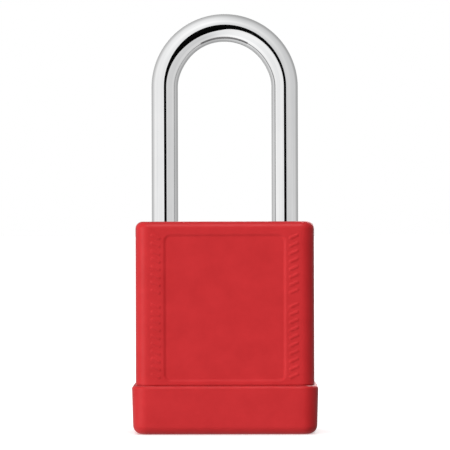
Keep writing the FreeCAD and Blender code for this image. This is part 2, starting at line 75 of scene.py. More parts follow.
GRIP_PROUD = 0.12 * MM
JACKET_WIDTH = JACKET_HIGH.x - JACKET_LOW.x
JACKET_DEPTH = JACKET_HIGH.y - JACKET_LOW.y - 2 * GRIP_PROUD
JACKET_TOP = JACKET_HIGH.z
JACKET_CORNER = 3.0 * MM
JACKET_TOP_ROUND = 1.6 * MM
SHELL_GAP = 0.05 * MM
JACKET_WALL = (JACKET_WIDTH - (CASE_HIGH.x - CASE_LOW.x)) / 2 - SHELL_GAP
GROOVE_HEIGHT = 0.22 * MM
GROOVE_DEPTH = 0.2 * MM
GROOVE_LIP = 0.12 * MM

PANEL_HALF_WIDTH = 13.9 * MM
PANEL_Z0 = 11.75 * MM
PANEL_Z1 = 45.1 * MM
PANEL_CORNER = 1.8 * MM
PANEL_SINK = 0.2 * MM
PANEL_WALL_RUN = 0.8 * MM

GRIP_X = 15.5 * MM
GRIP_LENGTH = 2.2 * MM
GRIP_RIB = 0.6 * MM
GRIP_PITCH = 1.75 * MM
GRIP_SLANT = math.radians(24)
GRIP_GROUPS = ((13.2 * MM, 10), (32.1 * MM, 8))
GRIP_SOFTNESS = 0.42 * MM
GRIP_SPREAD = 0.58

LEG_HOLE_R = 3.3 * MM
LEG_HOLE_LIP = 0.3 * MM
HOLE_SIDES = 48

# how finely the jacket's mesh is divided
SKIN_ROW = 0.115 * MM
CORNER_STEPS = 10
BORDER_STEPS = 16
GRIP_STEPS = 24
MIDDLE_STEPS = 12
SIDE_STEPS = 8
INNER_STEPS = 6
TOP_ROUND_STEPS = 12
GROOVE_LIP_STEPS = 4
HOLE_LIP_STEPS = 5

# ---- bumper ----

BUMPER_WIDTH = BUMPER_HIGH.x - BUMPER_LOW.x
BUMPER_DEPTH = BUMPER_HIGH.y - BUMPER_LOW.y
BUMPER_TOP = BUMPER_HIGH.z
BUMPER_CORNER = 3.6 * MM
BUMPER_DRAFT = 0.3 * MM
BUMPER_TOP_ROUND = 0.65 * MM
BUMPER_BOTTOM_ROUND = 2.0 * MM
BUMPER_FLOOR = CASE_LOW.z
WINDOW_WIDTH = 30.4 * MM
WINDOW_DEPTH = 13.2 * MM
WINDOW_CORNER = 2.0 * MM
WINDOW_LIP = 0.25 * MM
RESET_HOLE_R = 1.1 * MM
RESET_HOLE_LIP = 0.12 * MM
RESET_HOLE_SINK = 0.15 * MM
CUTTER_REACH = 1.0 * MM
CUTTER_FLARE = 1.1 * MM
CUTTER_END_GAP = 0.02 * MM

# how finely the bumper's mesh is divided
BUMPER_FRONT_STEPS = 24
BUMPER_SIDE_STEPS = 12
BUMPER_CORNER_STEPS = 14
BUMPER_WALL_STEPS = 10
BUMPER_RIM_STEPS = 10
BUMPER_ROUND_STEPS = 14
WINDOW_ROUND_STEPS = 5

# ---- shackle and springs ----

ROD_R = SHACKLE_HIGH.y
LEG_X = SHACKLE_HIGH.x - ROD_R
ARCH_Z = SHACKLE_HIGH.z - SHACKLE_HIGH.x
TOE_TIP = 38.9 * MM
TOE_CHAMFER = 0.7 * MM
TOE_EDGE = 0.1 * MM
TOE_STEPS = 10
HEEL_HEAD_R = 2.9 * MM
HEEL_HEAD_TOP = 22.1 * MM
HEEL_NECK_R = 1.8 * MM
HEEL_NECK_TOP = 24.4 * MM
HEEL_EDGE = 0.25 * MM
LEG_STEPS = 12
ARCH_STEPS = 96
ROD_END_R = 0.2 * MM
ROD_SIDES = 96
ROD_PLACE = "rod_place"
BEND_SWELL = 0.08
BEND_RAMP = math.radians(35)

SPRING_WIRE_R = 0.35 * MM
SPRING_TURNS = 4
RETURN_WIRE_R = 0.17 * MM
RETURN_TURNS = 3
COIL_STEPS = 36
COIL_CLOSED = 1.0
COIL_END_SHARE = 0.12
WIRE_SIDES = 12

# ---- number wheels ----

WHEELS = [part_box(f"number_wheel_{k}") for k in (1, 2, 3, 4)]
WHEEL_MIDDLES = [(low.x + high.x) / 2 for low, high in WHEELS]
WHEEL_R = 7.6 * MM
AXIS_Z = (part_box("spindle")[0].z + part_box("spindle")[1].z) / 2
DIGITS = 10
DIGIT_HEIGHT = 2.3 * MM
DIGIT_SHARE_OF_FONT = 0.7
DIGIT_BOLD = 0.03 * MM
DIGIT_WELD = 0.002 * MM
DIGIT_PROUD = 0.015 * MM
DIGIT_DEPTH = 0.12 * MM
DIGIT_CUT = 0.25 * MM
DIGIT_CURVE_STEPS = 6
INDEX_WIDTH = 0.45 * MM
INDEX_SINK = 0.25 * MM
INDEX_GAP = 0.01 * MM
INDEX_MARGIN = 1.5 * MM
INDEX_END_GAP = 0.05 * MM
INDEX_SAG = 0.05 * MM
INDEX_SAG_RUN = 0.4 * MM
INDEX_TOP = 0.03 * MM
INDEX_STEPS = 6
PLATE_SLOT_WIDTH = 4.0 * MM


# ---- mesh helpers ----

def steps(start, end, count):
    """count + 1 numbers from start to end."""
    return [start + (end - start) * k / count for k in range(count + 1)]


def smooth(value):
    """0 below 0, 1 above 1, and an even S between them."""
    value = min(max(value, 0.0), 1.0)
    return value * value * (3 - 2 * value)


def make_piece(name, bm, body, material, sharp_angle=40):
    """Turns a bmesh into an object that rides on a CAD body."""
    bmesh.ops.recalc_face_normals(bm, faces=bm.faces)
    mesh = bpy.data.meshes.new(name)
    bm.to_mesh(mesh)
    bm.free()
    mesh.shade_smooth()
    mesh.set_sharp_from_angle(angle=math.radians(sharp_angle))
    mesh.materials.append(material)
    piece = bpy.data.objects.new(name, mesh)
    bpy.context.scene.collection.objects.link(piece)
    if body:
        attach(piece, body)
    return piece


def add_ring(bm, points):
    """New vertices at the points, in their order."""
    return [bm.verts.new(p) for p in points]


def join_rings(bm, rings):
    """Quads between each ring of vertices and the next."""
    for lower, upper in zip(rings, rings[1:]):
        count = len(lower)
        for k in range(count):
            after = (k + 1) % count
            bm.faces.new((lower[k], lower[after], upper[after], upper[k]))


def closed_rod(bm, rings):
    """Quads between the rings and a flat face at each end."""
    join_rings(bm, rings)
    bm.faces.new(rings[0])
    bm.faces.new(rings[-1])


def fill_between(bm, rings):
    """Flat face inside the first ring with the other rings left open."""
    edges = []
    for ring in rings:
        for k, vertex in enumerate(ring):
            edges.append(bm.edges.get((vertex, ring[(k + 1) % len(ring)])))
    bmesh.ops.triangle_fill(bm, use_beauty=True, edges=edges)


def full_circle(count):
    """Angles of count even steps round a circle."""
    return [2 * math.pi * k / count for k in range(count)]


def arc_points(x, y, radius, start, count):
    """Points on a quarter turn from the start angle, without its two ends."""
    angles = [start + math.pi / 2 * k / count for k in range(1, count)]
    return [(x + radius * math.cos(a), y + radius * math.sin(a)) for a in angles]


def rounded_outline(width, depth, corner, across, along, arc_count=CORNER_STEPS):
    """Points round a rounded rectangle from its front left.

    across and along say where its straight runs are divided, from -1 to 1.
    """
    half_x = width / 2 - corner
    half_y = depth / 2 - corner
    points = [(half_x * t, -depth / 2) for t in across]
    points += arc_points(half_x, -half_y, corner, -math.pi / 2, arc_count)
    points += [(width / 2, half_y * t) for t in along]
    points += arc_points(half_x, half_y, corner, 0, arc_count)
    points += [(-half_x * t, depth / 2) for t in across]
    points += arc_points(-half_x, half_y, corner, math.pi / 2, arc_count)
    points += [(-width / 2, -half_y * t) for t in along]
    points += arc_points(-half_x, -half_y, corner, math.pi, arc_count)
    return points


def circle_ring(bm, x, radius, z):
    """Ring of one of the rod's holes at height z."""
    angles = full_circle(HOLE_SIDES)
    return add_ring(bm, [(x + radius * math.cos(a), radius * math.sin(a), z) for a in angles])


def quarter_round(radius, count):
    """(inset, drop) pairs of a rounded edge, from the side wall to the flat."""
    turns = steps(0, math.pi / 2, count)
    return [(radius * (1 - math.cos(a)), radius * (1 - math.sin(a))) for a in turns]


# ---- material helpers ----

class Nodes:
    """Short calls for building one node tree."""

    def __init__(self, tree):
        self.tree = tree
        self.places = tree.nodes.new("ShaderNodeTexCoord")
        self.place = self.places.outputs["Object"]

    def link(self, output, socket):
        self.tree.links.new(output, socket)

    def noise(self, scale, detail=2.0, roughness=0.5, stretch=(1, 1, 1)):
        """Noise over the piece; scale counts features in a metre."""
        mapping = self.tree.nodes.new("ShaderNodeMapping")
        mapping.inputs["Scale"].default_value = stretch
        self.link(self.place, mapping.inputs["Vector"])
        node = self.tree.nodes.new("ShaderNodeTexNoise")
        node.inputs["Scale"].default_value = scale
        node.inputs["Detail"].default_value = detail
        node.inputs["Roughness"].default_value = roughness
        self.link(mapping.outputs["Vector"], node.inputs["Vector"])
        return node.outputs["Fac"]

    def ramp(self, value, stops):
        """Colour ramp; stops are (position, colour or grey)."""
        node = self.tree.nodes.new("ShaderNodeValToRGB")
        elements = node.color_ramp.elements
        while len(elements) < len(stops):
            elements.new(0.5)
        for element, (position, colour) in zip(elements, stops):
            shade = colour if isinstance(colour, tuple) else (colour, colour, colour)
            element.position = position
            element.color = (*shade, 1)
        self.link(value, node.inputs["Fac"])
        return node.outputs["Color"]

    def to_range(self, value, low, high, new_low, new_high, soft=False):
        node = self.tree.nodes.new("ShaderNodeMapRange")
        node.interpolation_type = "SMOOTHSTEP" if soft else "LINEAR"
        for socket, number in zip(node.inputs[1:5], (low, high, new_low, new_high)):
            socket.default_value = number
        self.link(value, node.inputs["Value"])
        return node.outputs["Result"]

    def fill(self, sockets, items):
        """Links outputs into sockets and writes numbers straight onto them."""
        for socket, item in zip(sockets, items):
            if isinstance(item, bpy.types.NodeSocket):
                self.link(item, socket)
            else:
                socket.default_value = item

    def math(self, operation, first, second):
        node = self.tree.nodes.new("ShaderNodeMath")
        node.operation = operation
        self.fill(node.inputs, (first, second))
        return node.outputs["Value"]

    def blend(self, factor, first, second):
        """Number between two numbers."""
        node = self.tree.nodes.new("ShaderNodeMix")
        sockets = [node.inputs[name] for name in ("Factor", "A", "B")]
        self.fill(sockets, (factor, first, second))
        return node.outputs["Result"]

    def mix(self, factor, first, second):
        """Colour between two colours."""
        node = self.tree.nodes.new("ShaderNodeMix")
        node.data_type = "RGBA"
        given = (factor, first, second)
        items = [(*item, 1) if isinstance(item, tuple) else item for item in given]
        self.fill([node.inputs[k] for k in (0, 6, 7)], items)
        return node.outputs[2]

    def edges(self, low, high):
        """White on outward edges, black on flats and hollows."""
        pointiness = self.tree.nodes.new("ShaderNodeNewGeometry").outputs["Pointiness"]
        return self.to_range(pointiness, low, high, 0, 1)

    def bump(self, height, distance, strength=1.0, under=None):
        node = self.tree.nodes.new("ShaderNodeBump")
        node.inputs["Distance"].default_value = distance
        node.inputs["Strength"].default_value = strength
        self.link(height, node.inputs["Height"])
        if under:
            self.link(under, node.inputs["Normal"])
        return node.outputs["Normal"]


class Finish(Nodes):
    """One material's node tree."""

    def __init__(self, name):
        self.material = bpy.data.materials.new(name)
        self.material.use_nodes = True
        super().__init__(self.material.node_tree)
        self.shader = self.tree.nodes["Principled BSDF"]

    def done(self, colour, roughness, normal=None, **constants):
        """Connects the shader; constants are its sockets with _ for each space."""
        self.link(colour, self.shader.inputs["Base Color"])
        self.link(roughness, self.shader.inputs["Roughness"])
        if normal:
            self.link(normal, self.shader.inputs["Normal"])
        for name, number in constants.items():
            self.shader.inputs[name.replace("_", " ")].default_value = number
        return self.material


# ---- materials ----

RED = (0.540, 0.0235, 0.0270)
RED_DEEP = (0.495, 0.0198, 0.0228)
RED_WORN = (0.60, 0.07, 0.075)


def red_plastic(name):
    """Moulded plastic: spark-eroded grain, soft colour clouds, paler rubbed edges."""
    nodes = Finish(name)
    clouds = nodes.noise(190, detail=5, roughness=0.6)
    colour = nodes.ramp(clouds, ((0.35, RED_DEEP), (0.65, RED)))
    rubbed = nodes.math("MULTIPLY", nodes.edges(0.53, 0.60), nodes.noise(900, detail=4))
    colour = nodes.mix(nodes.math("MULTIPLY", rubbed, 0.5), colour, RED_WORN)
    scuffs = nodes.to_range(nodes.noise(420, detail=5, roughness=0.65), 0.35, 0.7, 0.34, 0.46)
    sink = nodes.bump(nodes.noise(60, detail=1), 0.02 * MM, 0.1)
    grain = nodes.bump(nodes.noise(5200, detail=3, roughness=0.6), 0.012 * MM, 0.5, under=sink)
    return nodes.done(colour, scuffs, grain, Specular_IOR_Level=0.12)


def chrome_plate(name):
    """Bright, faintly blue plating on drawn rod: streaks and hairlines along it, thumbed haze."""
    nodes = Finish(name)
    rod = nodes.tree.nodes.new("ShaderNodeAttribute")
    rod.attribute_name = ROD_PLACE
    nodes.place = rod.outputs["Vector"]
    haze = nodes.noise(70, detail=4, roughness=0.6)
    streaks = nodes.noise(1500, detail=3, stretch=(1, 1, 0.012))
    shares = nodes.math("MULTIPLY", haze, 0.3), nodes.math("MULTIPLY", streaks, 0.7)
    plating = nodes.math("ADD", *shares)
    colour = nodes.ramp(plating, ((0.38, (0.555, 0.56, 0.565)), (0.62, (0.645, 0.645, 0.645))))
    hairlines = nodes.noise(2600, detail=2, stretch=(1, 1, 0.04))
    roughness = nodes.math("ADD", nodes.to_range(haze, 0.3, 0.7, 0.018, 0.034),
                           nodes.to_range(hairlines, 0.55, 0.8, 0.0, 0.015))
    return nodes.done(colour, roughness, Metallic=1.0)


def brushed_metal(name, dark, light, rough, stretch, scale=1800):
    """Sheet or turned metal with brush lines across the stretched direction."""
    nodes = Finish(name)
    lines = nodes.noise(scale, detail=4, roughness=0.6, stretch=stretch)
    colour = nodes.ramp(lines, ((0.3, dark), (0.7, light)))
    blotch = nodes.noise(260, detail=3)
    roughness = nodes.math("ADD", nodes.to_range(blotch, 0.3, 0.7, rough, rough + 0.1),
                           nodes.to_range(lines, 0.3, 0.7, 0.0, 0.08))
    return nodes.done(colour, roughness, nodes.bump(lines, 0.006 * MM, 0.5), Metallic=1.0)


def cast_zinc(name):
    """Die-cast zinc: dull, mottled, finely pitted."""
    nodes = Finish(name)
    mottle = nodes.noise(380, detail=5, roughness=0.65)
    colour = nodes.ramp(mottle, ((0.3, (0.30, 0.30, 0.31)), (0.7, (0.46, 0.46, 0.46))))
    pits = nodes.noise(3200, detail=3)
    roughness = nodes.to_range(mottle, 0.3, 0.7, 0.42, 0.6)
    return nodes.done(colour, roughness, nodes.bump(pits, 0.03 * MM, 0.5), Metallic=0.85)


def wheel_nickel(name):
    """Satin nickel, turned about X, brighter on its rubbed edges."""
    nodes = Finish(name)
    turned = nodes.noise(5200, detail=3, stretch=(1, 0.06, 0.06))
    colour = nodes.ramp(turned, ((0.3, (0.56, 0.54, 0.50)), (0.7, (0.70, 0.68, 0.64))))
    colour = nodes.mix(nodes.edges(0.52, 0.62), colour, (0.80, 0.79, 0.76))
    blotch = nodes.noise(520, detail=4)
    roughness = nodes.to_range(blotch, 0.3, 0.7, 0.24, 0.38)
    return nodes.done(colour, roughness, nodes.bump(turned, 0.006 * MM, 0.5), Metallic=1.0)


def filled_paint(name, dark, light):
    """Enamel wiped into an engraving: slightly uneven, satin."""
    nodes = Finish(name)
    colour = nodes.ramp(nodes.noise(2400, detail=3), ((0.3, dark), (0.7, light)))
    roughness = nodes.to_range(nodes.noise(1500, detail=3), 0.3, 0.7, 0.3, 0.48)
    return nodes.done(colour, roughness, nodes.bump(nodes.noise(3600), 0.01 * MM, 0.5))


def pale_floor(name):
    """Matt white sheet with a faint tooth."""
    nodes = Finish(name)
    tooth = nodes.noise(900, detail=3)
    colour = nodes.ramp(tooth, ((0.3, (0.93, 0.93, 0.93)), (0.7, (0.96, 0.96, 0.96))))
    roughness = nodes.to_range(tooth, 0.3, 0.7, 0.8, 0.95)
    return nodes.done(
        colour, roughness,
        Specular_IOR_Level=0.1, Emission_Color=(1, 1, 1, 1), Emission_Strength=0.45,
    )


PLASTIC = red_plastic("red_plastic_moulded")
CHROME = chrome_plate("chrome_plated_rod")
ZINC = cast_zinc("die_cast_zinc")
PLATE = brushed_metal(
    "brushed_plate", (0.52, 0.52, 0.53), (0.66, 0.66, 0.66), 0.26, (0.05, 1, 1)
)
RIVET = brushed_metal(
    "spun_rivet", (0.50, 0.50, 0.50), (0.68, 0.67, 0.66), 0.24, (1, 1, 0.1), 2600
)
STEEL = brushed_metal(
    "zinc_plated_steel", (0.50, 0.50, 0.48), (0.64, 0.64, 0.60), 0.28, (1, 1, 0.1)
)
SPRING = brushed_metal(
    "spring_wire", (0.24, 0.24, 0.25), (0.42, 0.42, 0.43), 0.25, (1, 1, 0.3), 3000
)
NICKEL = wheel_nickel("satin_nickel")
BRASS = brushed_metal(
    "turned_brass", (0.58, 0.40, 0.16), (0.74, 0.54, 0.25), 0.24, (1, 0.06, 0.06), 4200
)
BLACK_PAINT = filled_paint("black_enamel", (0.012, 0.012, 0.013), (0.03, 0.03, 0.032))
INDEX_PAINT = filled_paint("red_enamel", (0.5, 0.01, 0.012), (0.66, 0.02, 0.02))

CAD_FINISHES = {
    "lock_case": ZINC,
    "base_plate": PLATE,
    "base_rivets": RIVET,
    "wheel_frame": STEEL,
    "detent_spring": SPRING,
    "detent_rivets": RIVET,
    "locking_carriage": STEEL,
    "spindle": STEEL,
    "retaining_clips": SPRING,
    "thrust_washer": STEEL,
}
for index in (1, 2, 3, 4):
    CAD_FINISHES[f"number_wheel_{index}"] = NICKEL
    CAD_FINISHES[f"hub_{index}"] = BRASS
for node, finish in CAD_FINISHES.items():
    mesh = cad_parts[node].data
    mesh.materials.clear()
    mesh.materials.append(finish)


# ---- outer jacket ----

def panel_depth(x, z):
    """How far the label panel is sunk at a point of the front."""
    middle = (PANEL_Z0 + PANEL_Z1) / 2
    over_x = abs(x) - PANEL_HALF_WIDTH + PANEL_CORNER
    over_z = abs(z - middle) - (PANEL_Z1 - PANEL_Z0) / 2 + PANEL_CORNER
    outside = math.hypot(max(over_x, 0), max(over_z, 0)) + min(max(over_x, over_z), 0)
    return PANEL_SINK * smooth((PANEL_CORNER - outside) / PANEL_WALL_RUN)


def grip_height(x, z):
    """How far the grip ribs stand proud at a point of the front."""
    side = 1 if x > 0 else -1
    cos, sin = math.cos(GRIP_SLANT), math.sin(GRIP_SLANT)
    reach = GRIP_LENGTH / 2 - GRIP_RIB / 2
    off_x = (x - side * GRIP_X) * side
    if abs(off_x) > GRIP_LENGTH:
        return 0.0
    height = 0.0
    for start, count in GRIP_GROUPS:
        index = min(max(round((z - start) / GRIP_PITCH), 0), count - 1)
        off_z = z - start - index * GRIP_PITCH
        along = off_x * cos + off_z * sin
        across = off_z * cos - off_x * sin
        distance = math.hypot(max(abs(along) - reach, 0), across)
        height = max(height, smooth((GRIP_RIB / 2 + GRIP_SOFTNESS / 2 - distance) / GRIP_SOFTNESS))
    return GRIP_PROUD * height


def jacket_columns():
    """Columns of the front, from -1 to 1 of its straight run: dense at borders and ribs."""
    half = JACKET_WIDTH / 2 - JACKET_CORNER
    border = steps(PANEL_HALF_WIDTH - PANEL_CORNER, PANEL_HALF_WIDTH, BORDER_STEPS)
    reach = GRIP_LENGTH * GRIP_SPREAD
    ribs = steps(GRIP_X - reach, GRIP_X + reach, GRIP_STEPS)
    right = border + ribs + [half]
    middle = steps(-border[0], border[0], MIDDLE_STEPS)[1:-1]
    return [x / half for x in [-x for x in reversed(right)] + middle + right]


def jacket_side_rows():
    """(height, inset) of the skin's rows from the hem to the top, without the relief."""
    lip = quarter_round(GROOVE_LIP, GROOVE_LIP_STEPS)
    crest = quarter_round(JACKET_TOP_ROUND, TOP_ROUND_STEPS)
    groove_top = BUMPER_TOP + GROOVE_HEIGHT
    rows = [(JACKET_LOW.z, 0), (BUMPER_TOP, 0)]
    rows += [(BUMPER_TOP, GROOVE_DEPTH), (groove_top, GROOVE_DEPTH)]
    rows += [(groove_top + drop, inset) for inset, drop in reversed(lip)]
    low = rows[-1][0]
    high = JACKET_TOP - JACKET_TOP_ROUND
    count = round((high - low) / SKIN_ROW)
    rows += [(z, 0) for z in steps(low, high, count)[1:]]
    rows += [(JACKET_TOP - drop, inset) for inset, drop in crest[1:]]
    return rows


def outer_jacket():
    """Sleeve over the case: skin with panel and grips, inner wall, top with two rod holes."""
    bm = bmesh.new()
    across = jacket_columns()
    along = steps(-1, 1, SIDE_STEPS)
    flat = JACKET_WIDTH / 2 - JACKET_CORNER

    def skin_ring(z, inset):
        ring = []
        width, depth = JACKET_WIDTH - 2 * inset, JACKET_DEPTH - 2 * inset
        outline = rounded_outline(width, depth, JACKET_CORNER - inset, across, along)
        for x, y in outline:
            if abs(x) <= flat and inset == 0 and z > BUMPER_TOP:
                face = -1 if y < 0 else 1
                relief = grip_height(-face * x, z) - panel_depth(x, z)
                y += face * relief
            ring.append((x, y, z))
        return add_ring(bm, ring)

    outer = [skin_ring(z, inset) for z, inset in jacket_side_rows()]
    inner = [skin_ring(z, JACKET_WALL) for z in steps(CASE_HIGH.z, JACKET_LOW.z, INNER_STEPS)]
    join_rings(bm, outer)
    join_rings(bm, inner + [outer[0]])
    mouths, throats = [], []
    for side in (-1, 1):
        lip = quarter_round(LEG_HOLE_LIP, HOLE_LIP_STEPS)
        rings = [
            circle_ring(bm, side * LEG_X, LEG_HOLE_R + inset, JACKET_TOP - drop)
            for inset, drop in reversed(lip)
        ]
        rings.append(circle_ring(bm, side * LEG_X, LEG_HOLE_R, CASE_HIGH.z))
        join_rings(bm, rings)
        mouths.append(rings[0])
        throats.append(rings[-1])
    fill_between(bm, [outer[-1]] + mouths)
    fill_between(bm, [inner[0]] + throats)
    piece = make_piece("jacket_shell", bm, "case", PLASTIC)
    piece.visible_glossy = False
    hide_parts("outer_jacket")


# ---- base bumper ----

def base_bumper():
    """Cap round the bottom: a closed loop of rings from its window, round the outside and back."""
    bm = bmesh.new()
    across = steps(-1, 1, BUMPER_FRONT_STEPS)
    along = steps(-1, 1, BUMPER_SIDE_STEPS)

    def ring(z, width, depth, corner):
        outline = rounded_outline(width, depth, corner, across, along, BUMPER_CORNER_STEPS)
        return add_ring(bm, [(x, y, z) for x, y in outline])

    def skin(z, inset):
        return ring(z, BUMPER_WIDTH - 2 * inset, BUMPER_DEPTH - 2 * inset, BUMPER_CORNER - inset)

    def window(z, grow):
        return ring(z, WINDOW_WIDTH + 2 * grow, WINDOW_DEPTH + 2 * grow, WINDOW_CORNER + grow)

    def draft(z):
        return BUMPER_DRAFT * (1 - z / BUMPER_TOP)

    rim = (BUMPER_WIDTH - JACKET_WIDTH) / 2 - SHELL_GAP
    pocket = (BUMPER_WIDTH - (CASE_HIGH.x - CASE_LOW.x)) / 2 - SHELL_GAP
    rings = [window(BUMPER_FLOOR, 0)]
    rings += [window(drop, inset) for inset, drop in quarter_round(WINDOW_LIP, WINDOW_ROUND_STEPS)]
    rings += [
        skin(drop, draft(drop) + inset)
        for inset, drop in reversed(quarter_round(BUMPER_BOTTOM_ROUND, BUMPER_ROUND_STEPS))
    ]
    top_start = BUMPER_TOP - BUMPER_TOP_ROUND
    wall = steps(BUMPER_BOTTOM_ROUND, top_start, BUMPER_WALL_STEPS)
    rings += [skin(z, draft(z)) for z in wall[1:]]
    rings += [
        skin(BUMPER_TOP - drop, draft(BUMPER_TOP - drop) + inset)
        for inset, drop in quarter_round(BUMPER_TOP_ROUND, BUMPER_RIM_STEPS)[1:]
    ]
    rings += [skin(BUMPER_TOP, rim), skin(JACKET_LOW.z, rim), skin(JACKET_LOW.z, pocket)]
    rings += [skin(BUMPER_FLOOR, pocket)]
    join_rings(bm, rings + [rings[0]])
    piece = make_piece("bumper_cap", bm, None, PLASTIC, sharp_angle=45)
    drill_reset_hole(piece)
    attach(piece, "case")
    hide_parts("base_bumper")


def drill_reset_hole(piece):
    """Hole in the left wall through which the spindle is pushed, with a countersunk rim."""
    bm = bmesh.new()
    outside = BUMPER_LOW.x
    profile = (
        (outside - CUTTER_REACH, RESET_HOLE_R + CUTTER_FLARE),
        (outside + RESET_HOLE_SINK, RESET_HOLE_R + RESET_HOLE_LIP),
        (outside + 2 * RESET_HOLE_SINK, RESET_HOLE_R),
        (CASE_LOW.x - CUTTER_END_GAP, RESET_HOLE_R),
    )
    rings = []
    angles = full_circle(HOLE_SIDES)
    for x, radius in profile:
        points = [(x, radius * math.cos(a), AXIS_Z + radius * math.sin(a)) for a in angles]
        rings.append(add_ring(bm, points))
    closed_rod(bm, rings)
    bmesh.ops.recalc_face_normals(bm, faces=bm.faces)
    mesh = bpy.data.meshes.new("reset_hole_cutter")
    bm.to_mesh(mesh)
    bm.free()
    cutter = bpy.data.objects.new("reset_hole_cutter", mesh)
    bpy.context.scene.collection.objects.link(cutter)
    cut = piece.modifiers.new("reset_hole", "BOOLEAN")
    cut.operation = "DIFFERENCE"
    cut.solver = "EXACT"
    cut.object = cutter
    depsgraph = bpy.context.evaluated_depsgraph_get()
    drilled = bpy.data.meshes.new_from_object(piece.evaluated_get(depsgraph))
    piece.modifiers.clear()
    piece.data = drilled
    bpy.data.objects.remove(cutter)


# ---- shackle ----

def shackle_stations():
    """(centre x, centre z, turn, radius) along the rod, from the heel's foot to the toe's tip."""
    heel = SHACKLE_LOW.z
    shapes = [
        (heel, ROD_END_R),
        (heel, HEEL_HEAD_R - HEEL_EDGE),
        (heel + HEEL_EDGE, HEEL_HEAD_R),
        (HEEL_HEAD_TOP - HEEL_EDGE, HEEL_HEAD_R),
        (HEEL_HEAD_TOP, HEEL_HEAD_R - HEEL_EDGE),
        (HEEL_HEAD_TOP, HEEL_NECK_R),
        (HEEL_NECK_TOP, HEEL_NECK_R),
        (HEEL_NECK_TOP, ROD_R - HEEL_EDGE),
        (HEEL_NECK_TOP + HEEL_EDGE, ROD_R),
    ]
    shapes += [(z, ROD_R) for z in steps(HEEL_NECK_TOP + HEEL_EDGE, ARCH_Z, LEG_STEPS)[1:-1]]
    stations = [(-LEG_X, z, 0.0, radius) for z, radius in shapes]
    for turn in steps(0, math.pi, ARCH_STEPS):
        stations.append((-LEG_X * math.cos(turn), ARCH_Z + LEG_X * math.sin(turn), turn, ROD_R))
    tip = [(z, ROD_R) for z in steps(ARCH_Z, TOE_TIP + TOE_CHAMFER, TOE_STEPS)[1:]]
    tip += [
        (TOE_TIP + TOE_EDGE, ROD_R - TOE_CHAMFER + TOE_EDGE),
        (TOE_TIP, ROD_R - TOE_CHAMFER - TOE_EDGE),
        (TOE_TIP, ROD_END_R),
    ]
    stations += [(LEG_X, z, math.pi, radius) for z, radius in tip]
    return stations


def shackle():
    """The rod. Each vertex keeps its place on the rod drawn straight, for the marks along it."""
    bm = bmesh.new()
    rod_place = bm.verts.layers.float_vector.new(ROD_PLACE)
    rings = []
    angles = full_circle(ROD_SIDES)
    along = 0.0
    before = None
    for x, z, turn, radius in shackle_stations():
        along += math.dist((x, z), before or (x, z))
        before = (x, z)
        out_x, out_z = -math.cos(turn), math.sin(turn)
        swell = 1 + BEND_SWELL * smooth(min(turn, math.pi - turn) / BEND_RAMP)
        points = []
        for angle in angles:
            reach = radius * math.cos(angle)
            if reach < 0:
                reach *= swell
            points.append((x + out_x * reach, radius * math.sin(angle), z + out_z * reach))
        rings.append(add_ring(bm, points))
        for angle, vertex in zip(angles, rings[-1]):
            vertex[rod_place] = (ROD_R * math.cos(angle), ROD_R * math.sin(angle), along)
    closed_rod(bm, rings)
    piece = make_piece("shackle_rod", bm, "shackle", CHROME)
    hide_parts("shackle")


# ---- springs ----

def coil(centre, axis, radius, wire, turns, length):
    """Compression spring with closed, ground-looking ends, wound about one axis from centre."""
    bm = bmesh.new()
    rings = []
    whole = turns + 2 * COIL_CLOSED
    count = int(whole * COIL_STEPS)
    rise = length - 2 * wire
    for k in range(count + 1):
        wound = whole * k / count
        share = smooth_rise(wound, turns)
        height = wire + rise * share
        angle = 2 * math.pi * wound
        rings.append(add_ring(bm, wire_ring(centre, axis, radius, wire, angle, height)))
    closed_rod(bm, rings)
    return bm


def smooth_rise(wound, turns):
    """Share of the rise: slow in the closed end turns, even between them."""
    if wound < COIL_CLOSED:
        return COIL_END_SHARE * wound / COIL_CLOSED
    if wound > turns + COIL_CLOSED:
        return 1 - COIL_END_SHARE * (turns + 2 * COIL_CLOSED - wound) / COIL_CLOSED
    return COIL_END_SHARE + (1 - 2 * COIL_END_SHARE) * (wound - COIL_CLOSED) / turns


def wire_ring(centre, axis, radius, wire, angle, height):
    """Ring of the wire's section where the winding has reached angle and height."""
    points = []
    for turn in full_circle(WIRE_SIDES):
        reach = radius + wire * math.cos(turn)
        first, second = reach * math.cos(angle), reach * math.sin(angle)
        third = height + wire * math.sin(turn)
        offset = Vector((first, second, third)) if axis == "Z" else Vector((third, first, second))
        points.append(centre + offset)
    return points


def springs():
    """Coils for the shackle's spring and the spindle's return spring, wound to the lengths of
    their frame parts.
    """
    wire = SPRING_WIRE_R
    radius = (SPRING_HIGH.y - SPRING_LOW.y) / 2 - wire
    foot = Vector((-LEG_X, 0, SPRING_LOW.z))
    length = SPRING_HIGH.z - SPRING_LOW.z
    bm = coil(foot, "Z", radius, wire, SPRING_TURNS, length)
    piece = make_piece("shackle_spring_coil", bm, "case", SPRING)
    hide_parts("shackle_spring")
    piece.parent = None
    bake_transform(piece)
    wire = RETURN_WIRE_R
    radius = (RETURN_HIGH.y - RETURN_LOW.y) / 2 - wire
    foot = Vector((RETURN_LOW.x, 0, AXIS_Z))
    length = RETURN_HIGH.x - RETURN_LOW.x
    bm = coil(foot, "X", radius, wire, RETURN_TURNS, length)
    piece = make_piece("spindle_spring_coil", bm, "case", SPRING)
    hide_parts("spindle_spring")
    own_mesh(piece)


# ---- digits and index line ----

